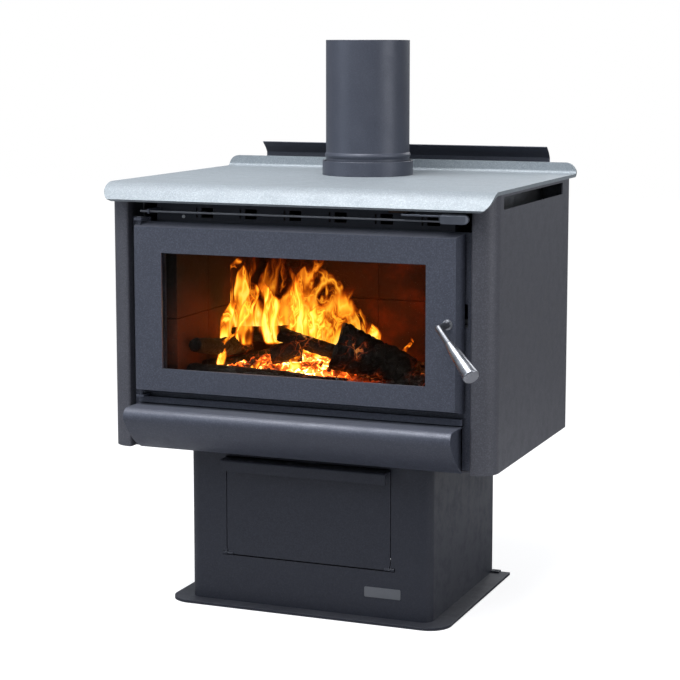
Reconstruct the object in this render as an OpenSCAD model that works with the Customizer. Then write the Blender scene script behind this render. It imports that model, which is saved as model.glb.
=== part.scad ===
// Freestanding wood burning stove on a pedestal, with a flue stub.
// X runs across the stove, Y from the front (-) to the back (+), Z up from the floor.

/* [Casing] */
// Outside width of the casing
body_w = 700; // [620:5:860]
// Outside depth of the casing
body_d = 454; // [400:2:560]
// Height of the casing side panels
body_h = 457; // [400:1:560]
// Outside radius of the two front columns
column_r = 35; // [25:1:38]
// Width of a front column seen from the front
column_w = 40; // [39:1:60]
// Thickness of the casing sheet
sheet_t = 2.5; // [2:0.5:3]
// Height of the vent slot in each side panel
vent_h = 21; // [12:1:24]
// Plain sheet left in front of and behind the vent slot
vent_margin = 47; // [40:1:80]

/* [Top plate] */
// Thickness of the top plate
top_t = 6; // [4:1:8]
// Reach of the rolled front edge ahead of the casing
top_front = 25; // [20:1:34]
// Drop of the rolled front edge below the top face
top_drop = 28; // [24:1:28]
// Gap from the casing back to the rear upstand
top_back = 45; // [35:1:70]
// Height of the rear upstand above the top face
upstand_h = 20; // [16:1:30]

/* [Pedestal] */
// Height of the casing underside above the floor
pedestal_h = 280; // [230:5:345]
// Width of the pedestal
pedestal_w = 450; // [370:5:560]
// Depth of the pedestal
pedestal_d = 357; // [320:1:430]
// Radius of the front corners of the pedestal
pedestal_r = 20; // [14:1:30]
// Setback of the pedestal front from the casing front
pedestal_setback = 57; // [50:1:66]
// Thickness of the pedestal sheet
pedestal_t = 3; // [2.5:0.5:4]
// Side overhang of the floor plate
base_side = 33.5; // [28:0.5:50]
// Front overhang of the floor plate
base_front = 27; // [20:1:40]
// Thickness of the floor plate
base_t = 5; // [4:1:8]
// Width of the pedestal door
hatch_w = 305; // [240:1:330]
// Height from the floor to the foot of the pedestal door
hatch_z = 89.5; // [70:0.5:110]

/* [Firing door] */
// Gap between the door edge and a front column
door_gap = 13; // [12.5:0.5:18]
// Depth of the door from front to back
door_t = 27; // [25:1:32]
// Slope of the door sides over the depth of the door
door_draft = 7; // [4:0.5:9]
// Thickness of the door skin
door_skin = 4; // [3:0.5:5]
// Side margin between the door edge and the window
window_side = 58; // [56:1:80]
// Margin between the door foot and the window
window_foot = 46; // [44:1:60]
// Margin between the window and the door top
window_head = 51; // [48:1:66]
// Thickness of the door glass
glass_t = 5; // [4:1:5]
// Diameter of the handle rod
rod_d = 11.5; // [10:0.5:13]
// Length of the tapered grip
grip_l = 82; // [70:1:110]
// Large diameter of the tapered grip
grip_d = 27; // [22:1:32]
// Angle of the grip away from the door face
handle_out = 33; // [28:1:50]
// Angle of the grip below level
handle_fall = 40; // [20:1:60]

/* [Flue] */
// Outside diameter of the flue pipe
flue_d = 152; // [125:1:156]
// Wall of the flue pipe
flue_t = 1.5; // [1:0.5:3]
// Distance of the flue axis from the casing back
flue_back = 109; // [105:1:130]
// Rise of the flue stub above the top face
flue_rise = 243; // [150:1:400]

/* [Air control] */
// Length of the air control knob
knob_l = 50; // [40:1:60]
// Travel of the air slide
air_travel = 40; // [20:1:44]
// Pitch of the air slots
slot_pitch = 82; // [76:1:86]

/* [Ash apron] */
// Reach of the apron ahead of the casing front
apron_reach = 56; // [45:1:66]
// Radius of the apron nose
apron_nose = 14.5; // [10:0.5:18]

/* [Hidden] */
$fn = 48;

charcoal = [0.22, 0.23, 0.25];
graphite = [0.17, 0.17, 0.19];
silver_grey = [0.45, 0.47, 0.5];
steel = [0.55, 0.56, 0.58];
chrome_c = [0.8, 0.81, 0.83];
brick_c = [0.55, 0.32, 0.24];
rope_c = [0.2, 0.2, 0.2];
board_c = [0.75, 0.7, 0.6];

side_bend = 4;      // outside radius of the side panels' rear fold
fit = 0.4;          // gap between pieces that move past each other
run = 0.05;         // radial running clearance of a pin in its bore
x_side = body_w / 2;
y_front = -body_d / 2;
y_back = body_d / 2;
z_body = pedestal_h;
z_roof = pedestal_h + body_h;
z_top = z_roof + top_t;

// Firing door and the plate it closes on
hearth_h = 99;
band_h = 61;
door_w = body_w - 2 * column_w - 2 * door_gap;
door_z0 = z_body + hearth_h;
door_z1 = z_roof - band_h;
plate_t = 6;
y_plate = y_front + 18;
y_door_back = y_plate - 7;
y_door = y_door_back - door_t;
win_x = door_w / 2 - window_side;
win_z0 = door_z0 + window_foot;
win_z1 = door_z1 - window_head;
rope_r = 6;
rope_x = win_x + 23;
rope_z0 = win_z0 - 27;
rope_z1 = win_z1 + 27;
channel_t = 2;
glass_over = 7;
gasket_t = 1.5;
y_glass = y_door + door_skin + gasket_t;

// Firebox
shell_t = 5;
fire_x = door_w / 2 - 35;
fire_z0 = z_body + 70;
fire_z1 = door_z1 - 3;
fire_y0 = y_plate + plate_t;
fire_y1 = y_back - 20;
brick_t = 25;
brick_z = fire_z0 + shell_t + brick_t;
lining_z = win_z1 + 7;
flue_y = y_back - flue_back;
flue_r = flue_d / 2;
flue_bore_r = flue_r - flue_t;
spigot_r = flue_bore_r - 0.3;
spigot_t = 3;
z_flue = z_top + flue_rise;
z_spigot = z_top + 20;
collar_h = 26;
collar_t = 5;

// Door hinge axis, inside the door's left edge
hinge_x = -door_w / 2 + 12;
hinge_y = y_door_back - 16;
boss_r = 6.5;
pin_r = 3;
pin_in = 16;
arm_h = 4;
arm_gap = 3;

// Handle spindle
spindle_x = door_w / 2 - 20.5;
spindle_z = (door_z0 + door_z1) / 2 + 1.5;
spindle_r = 4;
bush_r = 6.2;
y_elbow = y_door - 43;
elbow_r = rod_d / 2 + 0.4;
rod_l = 37;
cam_l = 23;
cam_t = 5;
y_cam = y_plate + plate_t + 3.1;
notch_x = door_w / 2 - 29;
notch_z0 = spindle_z - 8.5;

// Air control
y_air = y_plate + 17;
air_sheet = 2;
air_x = door_w / 2 - 25;
air_z0 = door_z1 - 3;
air_z1 = z_roof - 22;
slot_w = 22;
slot_z0 = door_z1 + 7;
slot_z1 = door_z1 + 24;
slot_shift = -11.5;
slot_low = -floor((air_x - 36 + slot_shift) / slot_pitch);
slot_high = floor((air_x - 36 - slot_shift) / slot_pitch);
rail_r = 2.2;
y_rail = y_door + 10;
z_rail = door_z1 + 19;
rail_x = door_w / 2 - 15;
knob_h = 16.5;
knob_t = 10;
knob_x1 = door_w / 2 + 14;
z_knob = door_z1 + 24;
y_knob = y_rail - rail_r - 3;
air_rod_r = 2;
y_air_rod = y_knob - knob_t / 2;
z_air_rod = z_knob + 4.5;
air_rod_x = knob_x1 - knob_l - 63;

// Ash apron
apron_x = door_w / 2 - 1.5;
apron_t = 2.5;
z_apron = z_body + 78.5;
y_nose = y_front - apron_reach;
apron_r2 = 150;
apron_turn = 212;

// Pedestal
y_ped = y_front + pedestal_setback;
y_ped_back = y_ped + pedestal_d;
ped_x = pedestal_w / 2;
hatch_x = hatch_w / 2;
hatch_t = 2.5;
hatch_z1 = z_body - 19;
hatch_y = y_ped + 1.3;
pivot_z = hatch_z + 1.4;
pivot_r = 2;
knuckle_w = 10;
lip_t = 2.5;
lip_reach = 27;
lip_drop = 19.5;

// Top plate bends
roll_r = 45;
roll_a = 50;
roll_arc_z = roll_r * (1 - cos(roll_a));
roll_run = (top_drop - roll_arc_z) / sin(roll_a);
y_roll = y_front - top_front + roll_r * sin(roll_a) + roll_run * cos(roll_a);
y_upstand = y_back + top_back;
upstand_r = 6;
corner_r = 30;

// Rear heat shield
y_shield = y_upstand + 42;
shield_t = 1.6;
shield_x = body_w / 2 - 62;
shield_bend = 20;
z_shield = z_top + 46;

function arc(c, r, a0, a1, n) =
    [for (i = [0 : n]) c + r * [cos(a0 + (a1 - a0) * i / n), sin(a0 + (a1 - a0) * i / n)]];
function heading(p, i) =
    let (d = p[min(i + 1, len(p) - 1)] - p[max(i - 1, 0)]) d / norm(d);
function offset_line(p, t) =
    [for (i = [0 : len(p) - 1]) p[i] + t * [-heading(p, i)[1], heading(p, i)[0]]];
function band(p, t) =
    let (q = offset_line(p, t)) concat(p, [for (i = [len(q) - 1 : -1 : 0]) q[i]]);

module block(x0, x1, y0, y1, z0, z1) {
    translate([x0, y0, z0]) cube([x1 - x0, y1 - y0, z1 - z0]);
}

// A Y-Z outline run along X
module along_x(x0, x1) {
    translate([x0, 0, 0]) rotate([90, 0, 90]) linear_extrude(x1 - x0) children();
}

// An X-Z outline run along Y
module along_y(y0, y1) {
    translate([0, y1, 0]) rotate([90, 0, 0]) linear_extrude(y1 - y0) children();
}

module post_y(x, z, r, y0, y1) {
    translate([x, y1, z]) rotate([90, 0, 0]) cylinder(r = r, h = y1 - y0);
}

module rod_x(y, z, r, x0, x1) {
    translate([x0, y, z]) rotate([0, 90, 0]) cylinder(r = r, h = x1 - x0);
}

module both_sides() {
    children();
    mirror([1, 0, 0]) children();
}

// ---- Pedestal ----

module base_plate() {
    x = ped_x + base_side;
    y0 = y_ped - base_front;
    r = 40;
    color(graphite)
    difference() {
        linear_extrude(base_t)
            polygon(concat([[x, y_ped_back], [-x, y_ped_back]],
                           arc([-x + r, y0 + r], r, 180, 270, 12),
                           arc([x - r, y0 + r], r, 270, 360, 12)));
        for (s = [-1, 1])
            translate([s * 130, 0, -1]) cylinder(r = 6, h = base_t + 2);
    }
}

module pedestal_wrap() {
    lap = 16;
    path = concat([[-ped_x + lap, y_ped_back]],
                  arc([-ped_x + 5, y_ped_back - 5], 5, 90, 180, 4),
                  arc([-ped_x + pedestal_r, y_ped + pedestal_r], pedestal_r, 180, 270, 12),
                  arc([ped_x - pedestal_r, y_ped + pedestal_r], pedestal_r, 270, 360, 12),
                  arc([ped_x - 5, y_ped_back - 5], 5, 0, 90, 4),
                  [[ped_x - lap, y_ped_back]]);
    gap = 1.3;
    slot_x = hatch_x + 8.5;
    color(graphite)
    difference() {
        translate([0, 0, base_t]) linear_extrude(z_body - base_t) polygon(band(path, pedestal_t));
        block(-hatch_x - gap, hatch_x + gap, y_ped - 1, y_ped + pedestal_t + 1,
              hatch_z + 8, hatch_z1 + lip_t + 2);
        block(-hatch_x + 1.5 - gap, hatch_x - 1.5 + gap, y_ped - 1, y_ped + pedestal_t + 1,
              hatch_z - 2.4, hatch_z + 9);
        block(-slot_x, slot_x, y_ped - 1, y_ped + pedestal_t + 1, pivot_z - 3.7, pivot_z + 3.7);
    }
}

module pedestal_back() {
    x = ped_x - pedestal_t - 2;
    color(graphite)
    block(-x, x, y_ped_back - pedestal_t - 2.5, y_ped_back - pedestal_t, base_t + 4, z_body - 6);
}

module pedestal_rails() {
    leg = 30;
    x = ped_x - pedestal_t;
    color(graphite)
    both_sides() difference() {
        union() {
            block(x - leg, x, y_ped + 40, y_ped_back - 30, z_body - 3, z_body);
            block(x - 3, x, y_ped + 40, y_ped_back - 30, z_body - leg, z_body);
        }
        for (y = [y_ped + 70, y_ped_back - 60])
            translate([x - 16, y, z_body - 4]) cylinder(r = 4.5, h = 5);
    }
}

module pedestal_bolts() {
    x = ped_x - pedestal_t - 16;
    color(steel)
    both_sides() for (y = [y_ped + 70, y_ped_back - 60]) translate([x, y, 0]) {
        translate([0, 0, z_body - 9]) cylinder(r = 4, h = 13);
        translate([0, 0, z_body + 3]) cylinder(r = 7.5, h = 5.3, $fn = 6);
        translate([0, 0, z_body - 9]) cylinder(r = 7.5, h = 6, $fn = 6);
    }
}

module pedestal_foot_tabs() {
    color(graphite)
    both_sides() difference() {
        block(ped_x, ped_x + 16, y_ped_back - 14, y_ped_back, base_t, base_t + 3);
        translate([ped_x + 9, y_ped_back - 7, base_t - 1]) cylinder(r = 2.6, h = 5);
    }
}

module pedestal_pivots() {
    x0 = hatch_x - 0.5;
    x1 = hatch_x + 7.5;
    y = y_ped + pedestal_t;
    color(steel)
    both_sides() difference() {
        union() {
            rod_x(hatch_y, pivot_z, 3.3, x0, x1);
            block(x0, x1, y, y + 2, pivot_z - 12, pivot_z);
            block(x0, x1, hatch_y, y + 1, pivot_z - 3, pivot_z);
        }
        rod_x(hatch_y, pivot_z, pivot_r + run, x0 - 1, x1 - 1);
    }
}

module hatch_magnet() {
    y = y_ped + hatch_t + fit;
    color(steel) {
        block(-20, 20, y, y + 10, hatch_z1 - 16, hatch_z1 - 2);
        block(-20, 20, y + 1, y + 3, hatch_z1 - 2, z_body);
    }
}

module badge_plate() {
    r = 2.5;
    x0 = ped_x * 0.47;
    x1 = x0 + 66;
    z0 = base_t + 35;
    z1 = z0 + 18;
    color(steel)
    along_y(y_ped - 1, y_ped)
        polygon(concat(arc([x1 - r, z0 + r], r, 270, 360, 6), arc([x1 - r, z1 - r], r, 0, 90, 6),
                       arc([x0 + r, z1 - r], r, 90, 180, 6), arc([x0 + r, z0 + r], r, 180, 270, 6)));
}

// ---- Hatch: the drop-down pedestal door ----

module hatch_panel() {
    z1 = hatch_z1;
    tip = y_ped - lip_reach;
    color(graphite)
    difference() {
        union() {
            block(-hatch_x, hatch_x, y_ped, y_ped + hatch_t, hatch_z + 8.5, z1);
            block(-hatch_x + 1.5, hatch_x - 1.5, y_ped, y_ped + hatch_t, hatch_z, hatch_z + 9);
            both_sides() rod_x(hatch_y, pivot_z, 2.9, hatch_x - 1.5 - knuckle_w, hatch_x - 1.5);
            along_x(-hatch_x, hatch_x)
                polygon(band(concat([[tip, z1 + lip_t - lip_drop]],
                                    arc([tip + 4, z1 + lip_t - 4], 4, 180, 90, 5),
                                    [[y_ped + hatch_t, z1 + lip_t]]), -lip_t));
        }
        both_sides() rod_x(hatch_y, pivot_z, pivot_r, hatch_x - 2 - knuckle_w, hatch_x);
    }
}

module hatch_pins() {
    color(steel)
    both_sides() rod_x(hatch_y, pivot_z, pivot_r, hatch_x - 1.5 - knuckle_w, hatch_x + 6);
}

// ---- Casing ----

module casing_floor() {
    x = x_side - sheet_t;
    t = 3;
    color(charcoal)
    difference() {
        block(-x, x, y_plate, y_back - 2 * sheet_t, z_body, z_body + t);
        for (sx = [-1, 1], y = [y_ped + 70, y_ped_back - 60])
            translate([sx * (ped_x - pedestal_t - 16), y, z_body - 1]) cylinder(r = 4.5, h = t + 2);
        both_sides()
            block(x_side - column_w + 3, x_side, y_plate - 1, y_front + column_r + 2,
                  z_body - 1, z_body + t + 1);
    }
}

module side_panel() {
    xc = x_side - column_w;
    path = concat([[xc, y_plate - 0.3]],
                  arc([xc + 4, y_front + 4], 4, 180, 270, 4),
                  arc([x_side - column_r, y_front + column_r], column_r, 270, 360, 14),
                  arc([x_side - side_bend, y_back - side_bend], side_bend, 0, 90, 4),
                  [[x_side - 16, y_back]]);
    color(charcoal)
    difference() {
        translate([0, 0, z_body]) linear_extrude(body_h) polygon(band(path, sheet_t));
        block(x_side - sheet_t - 1, x_side + 1, y_front + vent_margin, y_back - vent_margin,
              z_roof - 4 - vent_h, z_roof - 4);
        along_x(xc - 1, x_side + 1) difference() {
            translate([y_front - 1, z_top - roll_r]) square([y_roll - y_front + 1, roll_r]);
            translate([y_roll, z_top - roll_r]) circle(r = roll_r - top_t - fit);
        }
    }
}

module side_panel_right() {
    side_panel();
}

module side_panel_left() {
    mirror([1, 0, 0]) side_panel();
}

module rear_panel() {
    x = x_side - side_bend - 0.5;
    color(charcoal)
    block(-x, x, y_back - 2 * sheet_t, y_back - sheet_t, z_body + 3, z_roof - 3);
}

module top_rails() {
    x = x_side - sheet_t;
    y0 = y_front + column_r;
    y1 = y_back - 2 * sheet_t - 2;
    color(charcoal)
    both_sides() difference() {
        union() {
            block(x - 22, x, y0, y1, z_roof - sheet_t, z_roof);
            for (y = [y0, y1 - 12]) block(x - sheet_t, x, y, y + 12, z_roof - 34, z_roof);
        }
        for (y = [y0 + 60, y1 - 60])
            translate([x - 12, y, z_roof - sheet_t - 1]) cylinder(r = 3, h = sheet_t + 2);
    }
}

module top_plate() {
    front = arc([y_roll, z_top - roll_r], roll_r, 90, 90 + roll_a, 14);
    edge = front[14] + roll_run * [-cos(roll_a), -sin(roll_a)];
    path = concat([[y_upstand, z_top + upstand_h]],
                  arc([y_upstand - upstand_r, z_top + upstand_r], upstand_r, 0, -90, 6),
                  front, [edge]);
    z_low = z_top - top_drop - top_t;
    color(silver_grey)
    difference() {
        along_x(-x_side, x_side) polygon(band(path, top_t));
        both_sides() along_y(y_front - top_front - 5, y_roll) difference() {
            translate([x_side - corner_r, z_low - 1]) square([corner_r + 3, corner_r + 1]);
            translate([x_side - corner_r, z_low + corner_r]) circle(r = corner_r);
        }
        both_sides() along_y(y_upstand - 8, y_upstand + top_t + 2) difference() {
            translate([x_side - upstand_h, z_top]) square([upstand_h + 3, upstand_h + 1]);
            translate([x_side - upstand_h, z_top]) circle(r = upstand_h);
        }
        translate([0, flue_y, z_roof - 1]) cylinder(r = flue_r + 2, h = top_t + 2);
    }
}

module rear_heat_shield() {
    z0 = z_body + 40;
    path = [[y_shield, z0], [y_shield, z_shield - shield_bend],
            [y_shield - shield_bend * 0.35, z_shield - shield_bend * 0.55],
            [y_shield - shield_bend, z_shield]];
    color(graphite)
    along_x(-shield_x, shield_x) polygon(band(path, -shield_t));
}

module shield_standoffs() {
    color(steel)
    both_sides() for (z = [z_body + 130, z_roof - 100]) {
        post_y(shield_x - 80, z, 6, y_back - sheet_t, y_shield);
        post_y(shield_x - 80, z, 5, y_shield + shield_t, y_shield + shield_t + 3);
    }
}

module casing_screws() {
    color(steel)
    {
        both_sides() for (z = [z_body + 40, (z_body + z_roof) / 2, z_roof - 40])
            post_y(x_side - 10, z, 3.5, y_back, y_back + 2);
        post_y(-air_x + 52, door_z1 + 8, 3, y_air - 1.6, y_air);
    }
}

module inner_shields() {
    x = fire_x + 38;
    color(steel)
    both_sides() {
        block(x, x + 1, y_front + column_r + 6, y_back - 12, z_body + 3, z_roof - 6);
        block(x - 14, x + 1, y_front + column_r + 6, y_back - 12, z_body + 3, z_body + 4);
    }
}

// ---- Firebox ----

module firebox_stand() {
    x = fire_x - 12;
    y0 = y_plate + 40;
    y1 = fire_y1 - 10;
    z = z_body + 3;
    color(charcoal)
    both_sides() {
        block(x - 3, x, y0, y1, z, fire_z0);
        block(x - 28, x, y0, y1, z, z + 3);
        block(x - 28, x, y0, y1, fire_z0 - 3, fire_z0);
    }
}

module firebox_shell() {
    color(charcoal)
    difference() {
        block(-fire_x, fire_x, fire_y0, fire_y1, fire_z0, fire_z1);
        block(-fire_x + shell_t, fire_x - shell_t, fire_y0 - 1, fire_y1 - shell_t,
              fire_z0 + shell_t, fire_z1 - shell_t);
        translate([0, flue_y, fire_z1 - shell_t - 1]) cylinder(r = spigot_r - spigot_t, h = shell_t + 2);
    }
}

module flue_spigot() {
    color(charcoal)
    translate([0, flue_y, fire_z1]) difference() {
        cylinder(r = spigot_r, h = z_spigot - fire_z1);
        translate([0, 0, -1]) cylinder(r = spigot_r - spigot_t, h = z_spigot - fire_z1 + 2);
    }
}

module firebox_front() {
    x = x_side - column_w - 0.5;
    ox = rope_x - 13;
    color(charcoal)
    difference() {
        union() {
            block(-x, x, y_plate, y_plate + plate_t, z_body + 80, door_z1);
            block(-x, hinge_x + 8, y_plate, y_plate + plate_t, door_z1 - 1, door_z1 + arm_gap + arm_h);
            both_sides() block(apron_x - 4, x, y_plate, y_plate + plate_t, z_body + 4, z_body + 81);
        }
        block(-ox, ox, y_plate - 1, y_plate + plate_t + 1, rope_z0 + 14, rope_z1 - 14);
        block(notch_x, door_w / 2 + 3, y_plate - 1, y_plate + plate_t + 1, notch_z0, spindle_z + 30);
    }
}

module latch_keeper() {
    y = y_plate + plate_t;
    color(steel) block(spindle_x + 9, door_w / 2 + 8, y, y + 2.6, notch_z0 - 18, spindle_z - 5.5);
}

module floor_bricks() {
    x = fire_x - shell_t - 0.5;
    y0 = fire_y0 + 2;
    y1 = fire_y1 - shell_t - 0.5;
    w = 2 * x / 3;
    d = (y1 - y0) / 2;
    color(brick_c)
    for (i = [0 : 2], j = [0, 1])
        block(-x + i * w + 0.5, -x + (i + 1) * w - 0.5, y0 + j * d + 0.5, y0 + (j + 1) * d - 0.5,
              fire_z0 + shell_t, brick_z);
}

module side_bricks() {
    x1 = fire_x - shell_t - 0.5;
    y0 = fire_y0 + 4;
    y1 = fire_y1 - shell_t - brick_t - 1.5;
    d = (y1 - y0) / 3;
    h = (lining_z - brick_z) / 2;
    color(brick_c)
    both_sides() for (i = [0 : 2], j = [0, 1])
        block(x1 - brick_t, x1, y0 + i * d + 0.5, y0 + (i + 1) * d - 0.5,
              brick_z + j * h + 0.5, brick_z + (j + 1) * h - 0.5);
}

module rear_bricks() {
    x = fire_x - shell_t - 0.5;
    y1 = fire_y1 - shell_t - 0.5;
    w = 2 * x / 4;
    h = (lining_z - brick_z) / 2;
    color(brick_c)
    for (i = [0 : 3], j = [0, 1])
        block(-x + i * w + 0.5, -x + (i + 1) * w - 0.5, y1 - brick_t, y1,
              brick_z + j * h + 0.5, brick_z + (j + 1) * h - 0.5);
}

module baffle_rails() {
    x = fire_x - shell_t;
    color(steel)
    both_sides() {
        block(x - 3, x, fire_y0 + 66, fire_y1 - shell_t - 4, lining_z + 2, lining_z + 10);
        block(x - 20, x, fire_y0 + 66, fire_y1 - shell_t - 4, lining_z + 2, lining_z + 5);
    }
}

module baffle_board() {
    x = fire_x - shell_t - 4;
    color(board_c)
    block(-x, x, fire_y0 + 70, fire_y1 - shell_t - 45, lining_z + 5, lining_z + 18);
}

module secondary_air_tubes() {
    x = fire_x - shell_t;
    z = lining_z + 12;
    color(steel)
    for (y = [fire_y0 + 22, fire_y0 + 48]) difference() {
        rod_x(y, z, 9, -x, x);
        rod_x(y, z, 7.5, -x - 1, x + 1);
        for (i = [-8 : 8])
            translate([i * 24, y, z]) rotate([130, 0, 0]) cylinder(r = 2, h = 12);
    }
}

// ---- Flue ----

module flue_collar() {
    color(graphite)
    translate([0, flue_y, z_top]) difference() {
        cylinder(r = flue_r + collar_t + 1.5, h = collar_h, $fn = 96);
        translate([0, 0, -1]) cylinder(r = flue_r + collar_t - 1, h = collar_h + 2, $fn = 96);
    }
}

module flue_seal() {
    color(rope_c)
    translate([0, flue_y, z_top]) difference() {
        cylinder(r = flue_r + collar_t - 1, h = collar_h - 4);
        translate([0, 0, -1]) cylinder(r = flue_r, h = collar_h);
    }
}

module flue_pipe() {
    z0 = z_roof - 4;
    bead_z = z_top + collar_h + 10;
    bead = [[flue_r - 0.5, -6], [flue_r + 1.2, -3], [flue_r + 2, 0],
            [flue_r + 1.2, 3], [flue_r - 0.5, 6]];
    color(graphite)
    translate([0, flue_y, 0]) difference() {
        union() {
            translate([0, 0, z0]) cylinder(r = flue_r, h = z_flue - z0, $fn = 96);
            translate([0, 0, bead_z]) rotate_extrude($fn = 96) polygon(bead);
        }
        translate([0, 0, z0 - 1]) cylinder(r = flue_bore_r, h = z_flue - z0 + 2, $fn = 96);
    }
}

// ---- Air supply ----

module air_windows(y0, y1) {
    for (i = [slot_low : slot_high]) {
        x = slot_shift + i * slot_pitch;
        block(x - slot_w / 2, x + slot_w / 2, y0, y1, slot_z0, slot_z1);
        block(x - slot_w / 2 - 10, x - slot_w / 2 - 7, y0, y1, slot_z0, slot_z1);
    }
}

module air_box() {
    t = air_sheet;
    color(charcoal)
    difference() {
        block(-air_x, air_x, y_air, y_air + 62, air_z0, air_z1);
        block(-air_x + t, air_x - t, y_air + t, y_air + 63, air_z0 + t, air_z1 - t);
        air_windows(y_air - 1, y_air + t + 1);
        block(air_rod_x - air_travel - 3, air_rod_x + 3, y_air - 1, y_air + t + 1,
              z_air_rod - 2.5, z_air_rod + 2.5);
    }
}

module air_slide() {
    y = y_air + air_sheet + fit;
    x0 = slot_shift + slot_low * slot_pitch - slot_w / 2 - 16;
    x1 = air_x - 18.5;
    color(steel)
    difference() {
        block(x0, x1, y, y + 1.6, slot_z0 - 4, z_air_rod + 4);
        air_windows(y - 1, y + 3);
        post_y(air_rod_x, z_air_rod, air_rod_r, y - 1, y + 3);
    }
}

module air_slide_guides() {
    y = y_air + air_sheet;
    color(steel)
    both_sides() for (x = [40, 190]) {
        block(x, x + 22, y, y + 6, air_z0 + air_sheet, slot_z0 - 4.4);
        block(x, x + 22, y + 3, y + 4.5, air_z0 + air_sheet, slot_z0 + 1);
    }
}

module air_rail() {
    color(charcoal) rod_x(y_rail, z_rail, rail_r, -rail_x, rail_x);
}

module rail_brackets() {
    color(charcoal)
    both_sides() difference() {
        block(air_x - 8, air_x - 5, y_rail - 4, y_air, z_rail - 4, z_rail + 4);
        rod_x(y_rail, z_rail, rail_r, air_x - 9, air_x - 4);
    }
}

module air_rod() {
    y1 = y_air + air_sheet + fit + 1.6;
    color(steel) {
        rod_x(y_air_rod, z_air_rod, air_rod_r, air_rod_x, knob_x1 - knob_l + 12);
        translate([air_rod_x, y_air_rod, z_air_rod]) sphere(r = air_rod_r);
        post_y(air_rod_x, z_air_rod, air_rod_r, y_air_rod, y1);
    }
}

module air_knob() {
    x0 = knob_x1 - knob_l;
    r = knob_h / 2;
    c = 3.5;
    y1 = y_knob;
    y0 = y_knob - knob_t;
    z0 = z_knob - r;
    z1 = z_knob + r;
    color(steel)
    difference() {
        intersection() {
            along_y(y0, y1)
                polygon(concat(arc([x0 + r, z_knob], r, 90, 270, 12),
                               arc([knob_x1 - r, z_knob], r, 270, 450, 12)));
            along_x(x0, knob_x1)
                polygon([[y0, z0 + 1.2], [y0 + 1.2, z0], [y1, z0], [y1, z1], [y0 + c, z1],
                         [y0, z1 - c]]);
            linear_extrude(z1 + 1)
                polygon([[x0, y1], [x0, y0 + c], [x0 + c, y0], [knob_x1 - c, y0],
                         [knob_x1, y0 + c], [knob_x1, y1]]);
        }
        rod_x(y_air_rod, z_air_rod, air_rod_r, x0 - 1, x0 + 12);
    }
}

// ---- Ash apron and sill ----

module door_sill() {
    color(charcoal)
    block(-apron_x, apron_x, y_plate - 13, y_plate, z_body + 80, z_body + 91);
}

module ash_apron() {
    c = [y_nose + apron_nose, z_apron - apron_nose];
    nose = arc(c, apron_nose, 90, apron_turn, 12);
    low = arc(c - (apron_r2 - apron_nose) * [cos(apron_turn), sin(apron_turn)], apron_r2, apron_turn, 245, 12);
    path = concat([[y_plate, z_apron]], nose, [for (i = [1 : 12]) low[i]]);
    color(charcoal)
    along_x(-apron_x, apron_x) polygon(band(path, apron_t));
}

module apron_ends() {
    r = apron_nose - apron_t;
    c = [y_nose + apron_nose, z_apron - apron_nose];
    low = arc(c - (apron_r2 - apron_nose) * [cos(apron_turn), sin(apron_turn)], apron_r2 - apron_t, apron_turn, 245, 12);
    color(charcoal)
    both_sides() along_x(apron_x - 7, apron_x - 5)
        polygon(concat([[y_plate, z_apron - apron_t]], arc(c, r, 90, apron_turn, 8),
                       [for (i = [1 : 12]) low[i]], [[y_plate, low[12][1]]]));
}

module apron_brackets() {
    z0 = z_body + 3;
    color(charcoal)
    both_sides() {
        block(apron_x - 40, apron_x - 37, y_plate, y_plate + 34, z0, fire_z0 - 2);
        block(apron_x - 40, apron_x - 7, y_plate, y_plate + 3, z0, z_apron - apron_t);
        block(apron_x - 64, apron_x - 37, y_plate + 4, y_plate + 34, z0, z0 + 3);
    }
}

// ---- Firing door ----

// The outer form of the door, drawn in by d on every face but the back
module door_form(d) {
    w = door_w / 2 - d;
    yb = d > 0 ? y_door_back + 1 : y_door_back;
    yf = y_door + d;
    z0 = door_z0 + d;
    z1 = door_z1 - d;
    f = door_draft;
    intersection() {
        along_x(-w, w) polygon([[yb, z0], [yf, z0 + f], [yf, z1 - f], [yb, z1]]);
        translate([0, 0, z0]) linear_extrude(z1 - z0)
            polygon([[-w, yb], [-w + f, yf], [w - f, yf], [w, yb]]);
    }
}

module window_ring(g, t, y0, y1) {
    difference() {
        block(-rope_x - g - t, rope_x + g + t, y0, y1, rope_z0 - g - t, rope_z1 + g + t);
        block(-rope_x - g, rope_x + g, y0 - 1, y1 + 1, rope_z0 - g, rope_z1 + g);
    }
}

module clip_places() {
    for (sx = [-1, 1], k = [0.33, 0.84]) {
        translate([sx * win_x * k, 0, win_z0 - 13.5]) children();
        translate([sx * win_x * k, 0, win_z1 + 13.5]) mirror([0, 0, 1]) children();
    }
}

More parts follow.
